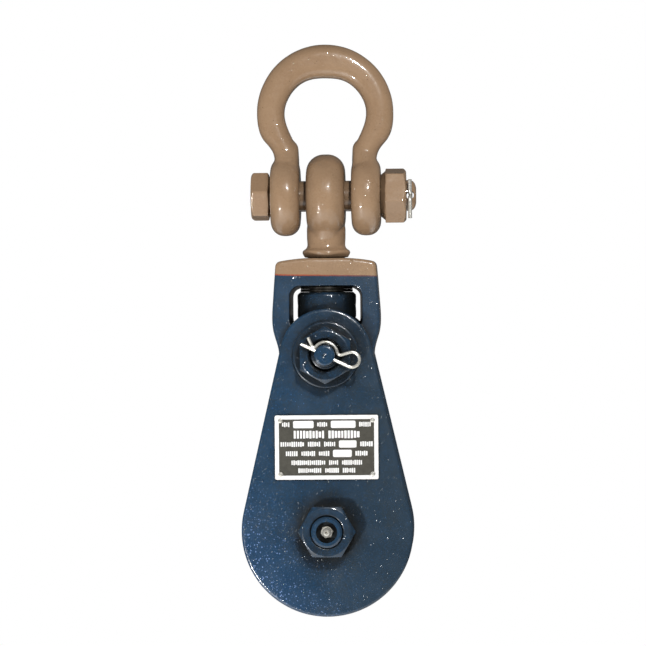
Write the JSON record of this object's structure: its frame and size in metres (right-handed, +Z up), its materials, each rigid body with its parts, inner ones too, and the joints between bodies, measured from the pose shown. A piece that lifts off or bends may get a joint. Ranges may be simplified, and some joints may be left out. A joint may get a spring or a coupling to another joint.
{
  "type": "single sheave block",
  "caption": "Snatch-type block: a grooved sheave between teardrop side plates, hung from a swivelling yoke, an eye and a bolted bow shackle.",
  "frame": {"origin": "the crown of the shackle bow, on the inside, where the hook or ring that carries the block bears", "axes": "+Z up along the line of pull, +Y along the sheave's axis towards the back, the rope runs in the XZ plane; front at -Y"},
  "size_m": [0.1268, 0.1014, 0.4113],
  "materials": {
    "tan_paint": "gloss enamel",
    "blue_paint": "gloss enamel",
    "bright_zinc": "bright zinc plate",
    "bare_steel": "turned, oiled",
    "bronze": "turned bearing bronze",
    "nameplate_metal": "etched, dark ground",
    "sheave_steel": "machined, worn by rope"
  },
  "bodies": {
    "shackle": {"shackle_bow": "tan_paint", "shackle_bolt": "tan_paint", "shackle_nut": "tan_paint", "shackle_cotter": "bright_zinc"},
    "swivel": {"swivel_eye": "tan_paint", "swivel_nut": "blue_paint", "swivel_nut_pin": "bare_steel", "thrust_washer_steel": "bare_steel", "thrust_washer_bronze": "bronze"},
    "yoke": {"yoke": "blue_paint"},
    "cheeks": {"front_side_plate": "blue_paint", "rear_side_plate": "blue_paint", "head_bolt": "blue_paint", "head_nut": "blue_paint", "head_washer_front": "blue_paint", "head_washer_rear": "blue_paint", "center_pin": "bare_steel", "center_pin_nut": "blue_paint", "hub_washer_front": "bronze", "hub_washer_rear": "bronze", "nameplate": "nameplate_metal", "nameplate_rivets": "nameplate_metal", "grease_fitting": "bare_steel", "grease_fitting_spring": "bare_steel"},
    "sheave": {"sheave": "sheave_steel", "sheave_bushing": "bronze"},
    "clip": {"hitch_clip": "bright_zinc"},
    "check_ball": {"grease_fitting_ball": "bare_steel"}
  },
  "joints": [
    {"name": "shackle_swing", "type": "hinge", "parent": "shackle", "child": "swivel", "pos_m": [0, 0, -0.0853], "axis": [1, 0, 0], "range_deg": [-120, 120]},
    {"name": "swivel_turn", "type": "hinge", "parent": "swivel", "child": "yoke", "pos_m": [0, 0, -0.14], "axis": [0, 0, 1], "continuous": true},
    {"name": "head_pivot", "type": "hinge", "parent": "yoke", "child": "cheeks", "pos_m": [0, 0, -0.1994], "axis": [0, 1, 0], "range_deg": [-110, 110]},
    {"name": "sheave_spin", "type": "hinge", "parent": "cheeks", "child": "sheave", "pos_m": [0, 0, -0.3256], "axis": [0, 1, 0], "continuous": true},
    {"name": "clip_pull", "type": "slide", "parent": "cheeks", "child": "clip", "axis": [0.9018, 0, -0.4321], "range_m": [0, 0.045], "deforming": ["hitch_clip"]},
    {"name": "check_ball_press", "type": "slide", "parent": "cheeks", "child": "check_ball", "axis": [0, 1, 0], "range_m": [0, 0.0008], "stiffness_N_per_m": 300, "springref_m": -0.0005, "deforming": ["grease_fitting_spring"]}
  ]
}
